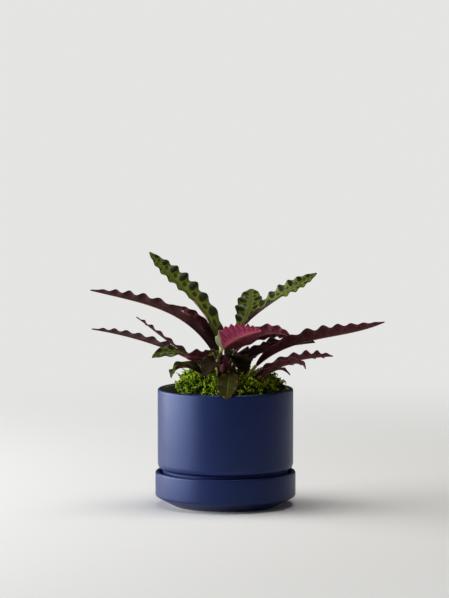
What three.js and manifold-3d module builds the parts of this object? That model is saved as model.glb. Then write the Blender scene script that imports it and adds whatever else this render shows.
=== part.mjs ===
// A potted rattlesnake plant: wavy lance-shaped leaves on short stalks, a heap of green moss, soil,
// a matte stoneware pot and its drip saucer.
// Millimetres, +Z up. The origin is the centre of the saucer's underside, and -Y is the front.

import * as THREE from 'three';
import { mergeVertices } from 'three/addons/utils/BufferGeometryUtils.js';
import Module from 'manifold-3d';

const wasm = await Module();
wasm.setup();

// Driving dimensions
const gap = 0.3; // between pieces that rest on each other
const roundSides = 44; // facets round the pot, the saucer and the soil

const saucer = {
  radius: 78.7,
  baseRadius: 60,
  creaseHeight: 11, // where the sloping underside turns into the upright wall
  height: 38.5,
  wall: 5,
  floor: 8,
};
const pot = {
  radius: 76,
  footRadius: 70.5, // the narrower foot that stands inside the saucer
  shoulderHeight: 41, // where the foot widens into the body
  height: 131.5,
  wall: 5.5,
  floor: 5.7,
  footRing: 4, // height of the ring that lifts the pot's floor off the saucer
  footRingWidth: 8.5,
  drainRadius: 7,
};
const soilTop = 112;
const crown = { centre: [3, 0, 101], radii: [19, 15, 8] }; // the rhizome that all the stalks grow from
const stalk = { rootRadius: 2.3, tipRadius: 1.3, kneeRadius: 1.9, kneeLength: 8, sides: 5, steps: 5 };
const socketClearance = 0.6; // plain holes for the stalks in the moss
const pocketClearance = 4; // and round the crown, in its pocket in the soil
const funnelSpread = 1.55; // how much the moss's opening widens upwards, as the stalks spread out
const bladeThickness = 0.9;
const ribDepth = 1.5; // how far the midrib stands out below the blade at its base
const moss = { centre: [2, 0], radius: 65.5, height: 33, strands: 138, strandRadius: 1.8, seed: 7 };
const mossNotch = 0.14; // how far the heap draws back from the pot on the left, as a share of its radius

// One row per leaf. rib holds points a third of the leaf apart, from the knee at the blade's base to the
// tip. halfWidth is the widest half blade, and widest says how far along that is, where it isn't just
// before the middle. roll turns the blade about its rib, at the base and at the tip; positive lowers its
// right side, seen from the base. fold lifts both halves into a V. waves and waveHeight give the margin
// its ripples, and root is where the stalk leaves the crown.
const leaves = [
  {
    name: 'leaf_upper_left', root: [-4, 6],
    rib: [[-9, 15, 178], [-26, 27, 216], [-57, 37, 248], [-86, 46, 281]],
    halfWidth: 21, roll: [10, -22], fold: 20, waves: 8, waveHeight: 1.4,
  },
  {
    name: 'leaf_left', root: [-11, 0],
    rib: [[-13, -6, 173], [-51, -8, 211], [-99, -8, 230], [-151, -4, 242]],
    halfWidth: 12.5, roll: [12, 21], fold: 32, waves: 8, waveHeight: 1.4,
  },
  {
    name: 'leaf_left_edge_on', root: [-13, 4],
    rib: [[-26, 3, 163], [-52, 4, 176], [-76, 8, 193], [-100, 15, 210]],
    halfWidth: 8, roll: [10, 23], fold: 10, waves: 6, waveHeight: 1.4,
  },
  {
    name: 'leaf_low_left', root: [-14, -4],
    rib: [[-24, -11, 157], [-62, -21, 177], [-104, -33, 192], [-148, -42, 202]],
    halfWidth: 11, roll: [2, 17], fold: 20, waves: 8, waveHeight: 1.5,
  },
  {
    name: 'leaf_front_left', root: [-8, -8],
    rib: [[-17, -16, 174], [-35, -37, 171], [-58, -52, 177], [-81, -62, 172]],
    halfWidth: 10, roll: [60, -62], fold: 15, waves: 4, waveHeight: 1.8,
  },
  {
    name: 'leaf_over_moss_left', root: [-11, -9],
    rib: [[-26, -18, 150], [-40, -29, 158], [-53, -39, 158], [-60, -47, 148]],
    halfWidth: 9, roll: [-45, 25], fold: 18, waves: 3, waveHeight: 1.4,
  },
  {
    name: 'leaf_dark_left', root: [-8, -12],
    rib: [[-9, -24, 160], [-13, -36, 164], [-18, -47, 160], [-22, -55, 150]],
    halfWidth: 11.5, roll: [-10, 0], fold: 15, waves: 3, waveHeight: 1.2,
  },
  {
    name: 'leaf_left_inner', root: [-9, 4],
    rib: [[-10, -1, 174], [-25, 3.5, 199], [-40, 9, 213], [-56, 13, 223]],
    halfWidth: 7, roll: [90, 46], fold: 30, waves: 4, waveHeight: 1.2,
  },
  {
    name: 'leaf_top', root: [3, 10],
    rib: [[5, 14, 189], [22, 24, 205], [28, 38, 222], [30, 58, 238]],
    halfWidth: 14.5, widest: 0.6, roll: [0, 0], fold: 20, waves: 5, waveHeight: 1.3,
  },
  {
    name: 'leaf_upper_right', root: [9, 5],
    rib: [[26, 7, 208], [49, 14, 225], [75, 22, 241], [103, 34, 258]],
    halfWidth: 12, roll: [-10, 40], fold: 22, waves: 7, waveHeight: 1.4,
  },
  {
    name: 'leaf_front_centre', root: [-5, -13],
    rib: [[-3, -24, 178], [9, -33, 188.5], [24, -43, 196], [40, -53, 201]],
    halfWidth: 18, widest: 0.36, roll: [-32, -50], fold: 14, waves: 9, waveHeight: 1.0,
  },
  {
    name: 'leaf_right_inner', root: [8, -2],
    rib: [[13, 0, 174], [32, -3, 188], [53, -8, 194], [73, -13, 190]],
    halfWidth: 10, roll: [-42, -70], fold: 25, waves: 5, waveHeight: 1.6,
  },
  {
    name: 'leaf_right', root: [16, -3],
    rib: [[35, -6, 158], [80, -12, 183], [129, -18, 194], [177, -22, 208]],
    halfWidth: 13, roll: [-17, -26], fold: 38, waves: 8, waveHeight: 1.6,
  },
  {
    name: 'leaf_back_right', root: [17, 3],
    rib: [[21, 12, 162], [48, 32, 171], [78, 52, 175], [102, 68, 176]],
    halfWidth: 13, roll: [-52, -22], fold: 20, waves: 6, waveHeight: 1.8,
  },
  {
    name: 'leaf_low_right', root: [14, -7],
    rib: [[41, -11, 152], [64, -22, 162], [93, -34, 169], [119, -44, 172]],
    halfWidth: 11, roll: [-4, -28], fold: 22, waves: 6, waveHeight: 1.7,
  },
  {
    name: 'leaf_front_right', root: [10, -11],
    rib: [[34, -21, 148], [56, -43, 159], [77, -59, 166], [88, -66, 160]],
    halfWidth: 8, roll: [12, -45], fold: 18, waves: 4, waveHeight: 1.4,
  },
  {
    name: 'leaf_hook', root: [16, -9],
    rib: [[41, -39, 149], [52, -57, 157], [61, -66, 160], [71, -71, 154]],
    halfWidth: 4, roll: [0, 0], fold: 25, waves: 3, waveHeight: 0.6,
  },
  {
    name: 'leaf_spear', root: [1, -11],
    rib: [[-2, -15, 149], [-2, -16.5, 157], [-2, -18, 165], [-1, -20, 171]],
    halfWidth: 6, roll: [0, 0], fold: 38, waves: 1, waveHeight: 0.2,
  },
  {
    name: 'leaf_over_rim', root: [5, -12],
    rib: [[5, -20, 150], [4, -44, 148.5], [2.5, -66, 138.5], [1, -85, 129]],
    halfWidth: 11.5, widest: 0.58, roll: [0, 0], fold: 14, waves: 4, waveHeight: 1.5,
  },
  {
    name: 'leaf_dark_inner', root: [13, 1],
    rib: [[15, 1, 165], [27, 2, 172], [42, 5, 179], [57, 8, 184]],
    halfWidth: 7, roll: [-30, -14], fold: 12, waves: 4, waveHeight: 1.2,
  },
  {
    name: 'leaf_dark_centre', root: [7, -8],
    rib: [[8, -13, 166], [13, -21, 168], [18, -29, 162], [21, -36, 150]],
    halfWidth: 12, roll: [0, 0], fold: 14, waves: 4, waveHeight: 1.4,
  },
  {
    name: 'leaf_back_left', root: [-5, 11],
    rib: [[-9, 17, 156], [-18, 44, 162], [-26, 74, 156], [-32, 102, 142]],
    halfWidth: 14, roll: [0, 0], fold: 25, waves: 6, waveHeight: 2,
  },
  {
    name: 'leaf_back', root: [4, 12],
    rib: [[5, 18, 158], [12, 48, 165], [20, 82, 158], [27, 112, 144]],
    halfWidth: 14, roll: [0, 0], fold: 25, waves: 6, waveHeight: 2,
  },
];

// Helpers

const vector = ([x, y, z]) => new THREE.Vector3(x, y, z);
const rowsPerWave = 4;
const waveSpread = 1.5; // above 1, the ripples lie closer together towards the tip
const tipTaper = 0.85; // below 1, the blade narrows late and its tip is blunt
const scallop = 0.07; // how far a ripple's crest stands out sideways, as a share of the half width

// Closes a row of equal rings of points into one solid. mirrored(j) says which ring places split their
// quads along the other diagonal, so that a blade's two faces are split alike.
function loft(rings, mirrored = () => false) {
  const count = rings[0].length;
  const positions = rings.flat().flatMap((p) => [p.x, p.y, p.z]);
  const index = [];
  for (let i = 0; i + 1 < rings.length; i += 1) {
    for (let j = 0; j < count; j += 1) {
      const a = i * count + j;
      const b = i * count + ((j + 1) % count);
      const [c, d] = [b + count, a + count];
      index.push(...(mirrored(j) ? [a, b, d, b, c, d] : [a, b, c, a, c, d]));
    }
  }
  const last = (rings.length - 1) * count;
  for (let j = 1; j + 1 < count; j += 1) {
    index.push(0, j + 1, j);
    index.push(last, last + j, last + j + 1);
  }
  const geometry = new THREE.BufferGeometry();
  geometry.setAttribute('position', new THREE.Float32BufferAttribute(positions, 3));
  geometry.setIndex(index);
  return geometry;
}

// A small repeatable random source.
function randomSource(seed) {
  let state = seed;
  return () => {
    state = (state * 16807) % 2147483647;
    return state / 2147483647;
  };
}

function solidOf(geometry) {
  const bare = geometry.clone();
  bare.deleteAttribute('normal');
  bare.deleteAttribute('uv');
  const merged = mergeVertices(bare, 1e-4);
  return new wasm.Manifold(
    new wasm.Mesh({
      numProp: 3,
      vertProperties: merged.attributes.position.array,
      triVerts: new Uint32Array(merged.index.array),
    }),
  );
}

function geometryOf(solid) {
  const mesh = solid.getMesh();
  const geometry = new THREE.BufferGeometry();
  geometry.setAttribute('position', new THREE.BufferAttribute(mesh.vertProperties, 3));
  geometry.setIndex(new THREE.BufferAttribute(mesh.triVerts, 1));
  return geometry;
}

// Turns a profile of [radius, height] pairs round the Z axis.
function turned(profile, closed) {
  const points = profile.map(([r, z]) => new THREE.Vector2(r, z));
  if (closed) points.push(points[0].clone());
  return new THREE.LatheGeometry(points, roundSides).rotateX(Math.PI / 2);
}

function arcProfile(centreR, centreZ, radius, fromDegrees, toDegrees, steps) {
  return Array.from({ length: steps + 1 }, (_, i) => {
    const angle = THREE.MathUtils.degToRad(THREE.MathUtils.lerp(fromDegrees, toDegrees, i / steps));
    return [centreR + radius * Math.cos(angle), centreZ + radius * Math.sin(angle)];
  });
}

// Saucer and pot

function saucerGeometry() {
  const { radius, baseRadius, creaseHeight, height, wall, floor } = saucer;
  const lip = wall / 2;
  return turned([
    [0, 0],
    [baseRadius - 1.5, 0],
    [baseRadius, 0.8],
    [radius - 1, creaseHeight - 0.8],
    [radius, creaseHeight + 1],
    ...arcProfile(radius - lip, height - lip, lip, 0, 180, 4),
    [radius - wall, floor + 2.5],
    [radius - wall - 2, floor],
    [0, floor],
  ]);
}

function potGeometry() {
  const { radius, height, wall, floor, footRadius, shoulderHeight, footRing, footRingWidth } = pot;
  const bottom = saucer.floor + gap;
  const lip = wall / 2;
  const shoulder = radius - footRadius;
  const underside = bottom + footRing;
  return turned(
    [
      [pot.drainRadius, underside],
      [footRadius - footRingWidth, underside],
      [footRadius - footRingWidth, bottom],
      [footRadius, bottom],
      [footRadius, shoulderHeight],
      [radius - shoulder * 0.3, shoulderHeight + shoulder * 0.35],
      [radius, shoulderHeight + shoulder],
      ...arcProfile(radius - lip, height - lip, lip, 0, 180, 4),
      [radius - wall, shoulderHeight + shoulder + wall],
      [footRadius - wall, shoulderHeight],
      [footRadius - wall, underside + floor],
      [pot.drainRadius, underside + floor],
    ],
    true,
  );
}

// Leaves

// The cubic that passes the rib's four points at equal steps.
function ribCurve(leaf) {
  const points = leaf.rib.map(vector);
  const blend = (weights) =>
    points.reduce((sum, point, i) => sum.addScaledVector(point, weights[i] / 6), new THREE.Vector3());
  return new THREE.CubicBezierCurve3(points[0], blend([-5, 18, -9, 2]), blend([2, -9, 18, -5]), points[3]);
}

// Half the blade's width at t, from 0 at the base to 1 at the tip.
function halfWidthAt(leaf, t) {
  const { widest = 0.47 } = leaf;
  const bulge = (x) => x ** ((tipTaper * widest) / (1 - widest)) * (1 - x) ** tipTaper;
  return 1.3 * (1 - t) + 0.4 + (leaf.halfWidth * bulge(t)) / bulge(widest);
}

// The blade's frame at t: its point on the rib, and the directions of its right side and its upper face.
function bladeFrame(leaf, curve, t) {
  const along = curve.getTangent(t);
  const level = new THREE.Vector3().crossVectors(along, new THREE.Vector3(0, 0, 1)).normalize();
  const roll = THREE.MathUtils.lerp(...leaf.roll, THREE.MathUtils.smoothstep(t, 0, 1));
  const right = level.applyAxisAngle(along, THREE.MathUtils.degToRad(roll));
  return { centre: curve.getPoint(t), along, right, up: new THREE.Vector3().crossVectors(right, along) };
}

// A point of the blade's middle surface at t and s, from -1 at the left margin to 1 at the right one, and
// the direction that the blade's upper face has there.
function bladePoint(leaf, frame, t, s) {
  const side = Math.sign(s);
  const fold = THREE.MathUtils.degToRad(leaf.fold);
  const outward = frame.right.clone().multiplyScalar(side * Math.cos(fold));
  outward.addScaledVector(frame.up, Math.sin(fold));
  const upper = frame.up.clone();
  if (side) upper.multiplyScalar(Math.cos(fold)).addScaledVector(frame.right, -side * Math.sin(fold));
  const reach = Math.abs(s);
  const fade = Math.min(1, 5 * t, 6 * (1 - t)); // the ripples run out at the base and the tip
  const swell = 1 + 0.3 * Math.sin(9 * t + leaf.root[0]); // no two ripples are alike
  const ahead = side < 0 ? 0.25 : 0; // the left margin ripples a quarter wave ahead of the right one
  const wave = fade * swell * Math.sin(2 * Math.PI * (leaf.waves * t ** waveSpread + ahead));
  const width = halfWidthAt(leaf, t) * (1 + scallop * wave);
  const point = frame.centre.clone().addScaledVector(outward, reach * width);
  point.addScaledVector(upper, wave * leaf.waveHeight * reach ** 1.5);
  return { point, upper };
}

function bladeGeometry(leaf, extra = 0) {
  const curve = ribCurve(leaf);
  const rows = Math.max(8, leaf.waves * rowsPerWave);
  const places = leaf.halfWidth > 12 ? [-1, -0.5, 0, 0.5, 1] : [-1, 0, 1];
  const rings = [];
  for (let row = 0; row <= rows; row += 1) {
    const t = (row / rows) ** (1 / waveSpread);
    const frame = bladeFrame(leaf, curve, t);
    const section = places.map((s) => bladePoint(leaf, frame, t, s));
    const half = bladeThickness / 2 + extra;
    const top = section.map(({ point, upper }) => point.clone().addScaledVector(upper, half));
    const bottom = section.map(({ point, upper }, place) => {
      const rib = places[place] === 0 ? ribDepth * (1 - t) + 0.2 : 0;
      return point.clone().addScaledVector(upper, -half - rib);
    });
    rings.push([...top, ...bottom.reverse()]);
  }
  return loft(rings, (j) => j >= places.length);
}

// Stalks: one solid, because they all grow from the same crown

function stalkCurve(leaf) {
  const knee = vector(leaf.rib[0]);
  const blade = ribCurve(leaf).getTangent(0);
  const [x, y] = leaf.root;
  const root = new THREE.Vector3(x, y, crown.centre[2]);
  const length = root.distanceTo(knee);
  const end = knee.clone().addScaledVector(blade, -gap);
  return new THREE.CubicBezierCurve3(
    root,
    root.clone().add(new THREE.Vector3((knee.x - x) * 0.1, (knee.y - y) * 0.1, length * 0.45)),
    end.clone().addScaledVector(blade, -length * 0.28),
    end,
  );
}

function stalkRadiusAt(t, length) {
  const fromKnee = (1 - t) * length;
  const plain = THREE.MathUtils.lerp(stalk.rootRadius, stalk.tipRadius, t);
  return fromKnee < stalk.kneeLength ? stalk.kneeRadius : plain;
}

// A stalk, or with some extra the socket it stands in, which runs on past its end.
function stalkGeometry(leaf, extra) {
  const curve = stalkCurve(leaf);
  const length = curve.getLength();
  const rings = [];
  for (let step = 0; step <= stalk.steps; step += 1) {
    const t = step / stalk.steps;
    const along = curve.getTangentAt(t);
    const level = new THREE.Vector3().crossVectors(along, new THREE.Vector3(0.2, 1, 0)).normalize();
    const radius = stalkRadiusAt(t, length) + extra;
    const centre = curve.getPointAt(t).addScaledVector(along, step === stalk.steps ? 2 * extra : 0);
    rings.push(
      Array.from({ length: stalk.sides }, (_, side) => {
        const spoke = level.clone().applyAxisAngle(along, (side / stalk.sides) * 2 * Math.PI);
        return centre.clone().addScaledVector(spoke, radius);
      }),
    );
  }
  return loft(rings);
}

function stalksSolid(extra) {
  const ball = new THREE.SphereGeometry(1, 12, 8);
  ball.scale(...crown.radii.map((radius) => radius + extra)).translate(...crown.centre);
  return wasm.Manifold.union([solidOf(ball), ...leaves.map((leaf) => solidOf(stalkGeometry(leaf, extra)))]);
}

// Soil and moss

function biggestBody(solid) {
  return solid.decompose().sort((a, b) => b.volume() - a.volume())[0];
}

// The soil fills the pot, with a plain pocket for the crown.
function soilSolid() {
  const bottom = saucer.floor + gap + pot.footRing + pot.floor + gap;
  const lower = pot.footRadius - pot.wall - gap;
  const upper = pot.radius - pot.wall - gap;
  const bend = pot.shoulderHeight;
  const flare = pot.radius - pot.footRadius + pot.wall;
  const filling = turned([
    [0, bottom],
    [lower, bottom],
    [lower, bend],
    [upper, bend + flare + gap],
    [upper, soilTop],
    [0, soilTop],
  ]);
  const [x, y, z] = crown.centre;
  const [rx, ry, rz] = crown.radii;
  const pocketFloor = z - rz - gap;
  const pocket = new THREE.CylinderGeometry(1, 1, 2 * (soilTop - pocketFloor), 20).rotateX(Math.PI / 2);
  pocket.scale(rx + pocketClearance, ry + pocketClearance, 1).translate(x, y, soilTop);
  return biggestBody(solidOf(filling).subtract(solidOf(pocket)));
}

// How high the moss heap stands above the soil, by its share of the radius and the direction.
function mossHeight(share, angle) {
  const hump = 0.1 * Math.sin(angle) - 0.08 * Math.cos(angle) + 0.07 * Math.sin(5 * angle + 1);
  return moss.height * (1 - 0.3 * share ** 6) * (1 + hump * share);
}

function mossPoint(share, angle, lift) {
  const notch = mossNotch * (0.5 - 0.5 * Math.cos(angle)) ** 6;
  const wobble = 1 + 0.02 * Math.sin(7 * angle) + 0.015 * Math.sin(11 * angle + 1);
  const r = moss.radius * share * (1 - notch) * (share > 0.8 ? wobble : 1);
  const [x, y] = moss.centre;
  return new THREE.Vector3(x + r * Math.cos(angle), y + r * Math.sin(angle), soilTop + gap + lift);
}

// The heap's lumpy core. Each level is a share of the radius and a share of the height there.
function mossCore(random) {
  const around = 26;
  const levels = [[0.93, 0], [1, 0.16], [0.99, 0.6], [0.91, 0.9], [0.74, 1], [0.5, 0.97], [0.25, 1]];
  const rings = levels.map(([share, rise]) =>
    Array.from({ length: around }, (_, i) => {
      const angle = (i / around) * 2 * Math.PI;
      const lump = rise > 0.2 ? 5 * (random() - 0.5) : 0;
      return mossPoint(share, angle, mossHeight(share, angle) * rise + lump);
    }),
  );
  return solidOf(loft(rings));
}

// One short curled strand, rooted in the heap and bending over. Those at the heap's side lean outwards.
function mossStrand(random) {
  const share = Math.sqrt(random());
  const angle = random() * 2 * Math.PI;
  const atSide = share > 0.9;
  const depth = atSide ? 0.35 + 0.5 * random() : 0.9;
  const root = mossPoint(share * 0.95, angle, mossHeight(share, angle) * depth);
  const turn = random() * 2 * Math.PI;
  const lean = new THREE.Vector3(Math.cos(turn), Math.sin(turn), 0);
  const outward = new THREE.Vector3(Math.cos(angle), Math.sin(angle), 0).multiplyScalar(atSide ? 4 : 1);
  const rise = 6 + random() * 5;
  const spread = 3 + random() * 5;
  const middle = root.clone().addScaledVector(lean, spread * 0.4).add(outward);
  middle.z += rise;
  const tip = middle.clone().addScaledVector(lean, spread);
  tip.z += 2 - random() * 5;
  const curve = new THREE.QuadraticBezierCurve3(root, middle, tip);
  const rings = [0, 0.55, 1].map((t) => {
    const along = curve.getTangent(t);
    const level = new THREE.Vector3().crossVectors(along, new THREE.Vector3(0.31, 0.95, 0)).normalize();
    return [0, 1, 2].map((corner) => {
      const spoke = level.clone().applyAxisAngle(along, (corner / 3) * 2 * Math.PI);
      return curve.getPoint(t).addScaledVector(spoke, moss.strandRadius * (1 - 0.45 * t));
    });
  });
  return solidOf(loft(rings));
}

// The plain opening in the heap's middle that the stalks rise through.
function mossFunnel() {
  const height = moss.height + gap;
  const [x, y] = crown.centre;
  const [rx, ry] = crown.radii;
  const funnel = new THREE.CylinderGeometry(funnelSpread, 1, height, 20).rotateX(Math.PI / 2);
  funnel.scale(rx + pocketClearance, ry + pocketClearance, 1).translate(x, y, soilTop + height / 2);
  return solidOf(funnel);
}

// The heap, cut clear of the stalks and blades that lean out of its opening, and the strands that stand
// clear of every stalk and blade and of the pot.
function mossSolid() {
  const random = randomSource(moss.seed);
  const blades = leaves.map((leaf) => solidOf(bladeGeometry(leaf, socketClearance)));
  const plant = [stalksSolid(socketClearance), ...blades];
  const heap = plant.reduce((rest, piece) => rest.subtract(piece), mossCore(random).subtract(mossFunnel()));
  const strands = Array.from({ length: moss.strands }, () => mossStrand(random));
  const obstacles = [...plant, solidOf(potGeometry())];
  const isClear = (strand) => obstacles.every((obstacle) => strand.intersect(obstacle).isEmpty());
  return biggestBody(wasm.Manifold.union([heap, ...strands.filter(isClear)]));
}

// The part

const finish = (color, roughness) => new THREE.MeshStandardMaterial({ color, roughness, metalness: 0 });
const materials = {
  stoneware: finish(0x2b3160, 0.5),
  soil: finish(0x2c1d14, 0.95),
  moss: finish(0x6f9a14, 0.9),
  stalk: finish(0x8f9a4a, 0.6),
  leaf: finish(0x4b6a1e, 0.45),
};

const part = new THREE.Group();
function add(name, geometry, material) {
  const mesh = new THREE.Mesh(geometry, material);
  mesh.name = name;
  part.add(mesh);
}

add('saucer', saucerGeometry(), materials.stoneware);
add('pot', potGeometry(), materials.stoneware);
add('soil', geometryOf(soilSolid()), materials.soil);
add('moss', geometryOf(mossSolid()), materials.moss);
add('stalks', geometryOf(stalksSolid(0)), materials.stalk);
leaves.forEach((leaf) => add(leaf.name, bladeGeometry(leaf), materials.leaf));

export default part;
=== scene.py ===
"""The looks of a potted rattlesnake plant: pot, saucer, soil, moss, stalks and patterned leaves."""

import math
from collections import namedtuple

import bpy
import numpy as np
from mathutils.bvhtree import BVHTree
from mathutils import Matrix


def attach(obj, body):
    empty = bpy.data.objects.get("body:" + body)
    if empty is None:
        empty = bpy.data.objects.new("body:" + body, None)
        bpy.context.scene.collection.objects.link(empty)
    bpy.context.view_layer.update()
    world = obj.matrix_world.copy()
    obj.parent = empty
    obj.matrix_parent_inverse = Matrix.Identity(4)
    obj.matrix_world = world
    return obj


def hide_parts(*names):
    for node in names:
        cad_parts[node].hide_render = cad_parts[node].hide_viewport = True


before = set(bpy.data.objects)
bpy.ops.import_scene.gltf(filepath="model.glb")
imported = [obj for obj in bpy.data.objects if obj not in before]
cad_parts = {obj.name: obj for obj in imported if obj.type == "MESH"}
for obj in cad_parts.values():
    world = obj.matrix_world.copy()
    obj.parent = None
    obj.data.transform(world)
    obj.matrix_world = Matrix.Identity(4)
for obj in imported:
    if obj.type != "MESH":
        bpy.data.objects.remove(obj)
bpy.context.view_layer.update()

# Sizes below are in millimetres, in the frame of the part: +Z up, -Y towards the camera.
MM = 0.001
GAP = 0.3
rng = np.random.default_rng(11)

# The camera: a long lens a little above the plant, at the photo's viewing angle.
CAMERA_DISTANCE = 3714
CAMERA_PITCH = 5.0  # degrees downwards
CAMERA_LENS, SENSOR_WIDTH = 200, 36
LOOK_AT = (-1.1, 0.0, 231.6)

# The stage, in metres: how far the lit floor reaches, where the even paleness beyond it takes
# over, and the backdrop that curves up round it and closes overhead.
FLOOR_RADIUS = 1.5
FLOOR_FADE, BACKDROP_FADE = (0.35, 1.3), (0.1, 0.2)
BACKDROP_REACH, BACKDROP_CURVE = 5.0, 2.5
BACKDROP_DOME = [(7.5, 7.0), (4.0, 10.0), (0.001, 11.0)]
FLOOR_COLOR = (0.8, 0.8, 0.795)
BACKDROP = (0.78, 0.785, 0.77)

# Each soft light's place, target, size, power and colour, in metres and watts.
LIGHTS = {
    "window": ((-1.7, 0.1, 0.4), (0, 0.1, 0.4), (2.4, 0.76), 70, (0.97, 0.99, 1.0)),
    "ceiling": ((0.1, 0.1, 3.0), (0.1, 0.1, 0.0), (1.8, 1.8), 54, (1.0, 0.97, 0.925)),
    "fill": ((2.4, 1.6, 0.9), (0, 0, 0.15), (1.4, 1.0), 4, (1.0, 0.98, 0.95)),
}
WORLD_COLOR, WORLD_STRENGTH = (0.95, 0.98, 1.0), 0.06

# Pot, saucer, soil and the heap of moss

SAUCER_RADIUS, SAUCER_HEIGHT, SAUCER_WALL, SAUCER_FLOOR = 78.7, 38.5, 5.0, 8.0
SAUCER_BASE, SAUCER_CREASE = 60.0, 11.0
POT_RADIUS, POT_HEIGHT, POT_WALL = 76.0, 131.5, 5.5
FOOT_RADIUS, SHOULDER_HEIGHT = 70.5, 41.0
FOOT_RING, FOOT_RING_WIDTH, POT_FLOOR, DRAIN_RADIUS = 4.0, 8.5, 5.7, 7.0
SOIL_TOP = 112.0
MOSS_CENTRE, MOSS_RADIUS, MOSS_HEIGHT, MOSS_NOTCH = (2.0, 0.0), 65.5, 33.0, 0.14
# Rings of the heap's core: their share of its radius and of its height.
CORE_LEVELS = [(0.9, 0.0), (0.96, 0.2), (0.95, 0.55), (0.88, 0.82), (0.72, 0.9), (0.55, 0.86),
               (0.42, 0.7), (0.3, 0.45), (0.15, 0.3)]
CORE_SIDES = 96

# The crown and the stalks
CROWN_CENTRE, CROWN_RADII = (3.0, 0.0, 101.0), (19.0, 15.0, 8.0)
STALK_ROOT, STALK_TIP, KNEE_RADIUS, KNEE_LENGTH = 2.3, 1.3, 1.95, 8.0
STALK_POINTS, STALK_SIDES = 34, 12
SHEATH_SWELL, SHEATH_LENGTH = 0.7, 16

# The blades' outline: ripples crowd towards the tip, the margin swings out with them, and the tip
# is blunt. Their section: half the thickness and what the margin lacks of it, the channel above
# the rib and the keel below it. Their relief: side veins with faint quilting between them.
WAVE_SPREAD, ROW_SPREAD = 1.5, 1.25
SCALLOP, TIP_TAPER = 0.07, 0.85
USUAL_WIDEST, BASE_WIDTH, TIP_WIDTH = 0.47, 1.3, 0.3
LEFT_LEAD = 0.25  # of a ripple, from the left margin to the right one
BEND_WIDTH = 0.12
BLADE_HALF, MARGIN_LOSS = 0.45, 0.2
CHANNEL_DEPTH, CHANNEL_WIDTH = 0.35, 0.07
RIB_DEPTH, RIB_DEPTH_AT_TIP, RIB_HALF_WIDTH = 1.2, 0.25, 1.3
VEINS_PER_RIPPLE, VEIN_SLANT, QUILT_HEIGHT = 9.0, 3.0, 0.16
LEAST_ROWS, ROWS_PER_RIPPLE = 56, 20
WIDE_BLADE, WIDE_COLUMNS, NARROW_COLUMNS = 12, 28, 20

STRAND_POINTS, STRAND_SIDES = 7, 3
PLANT_CLEARANCE, WALL_CLEARANCE = 1.6, 1.2

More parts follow.
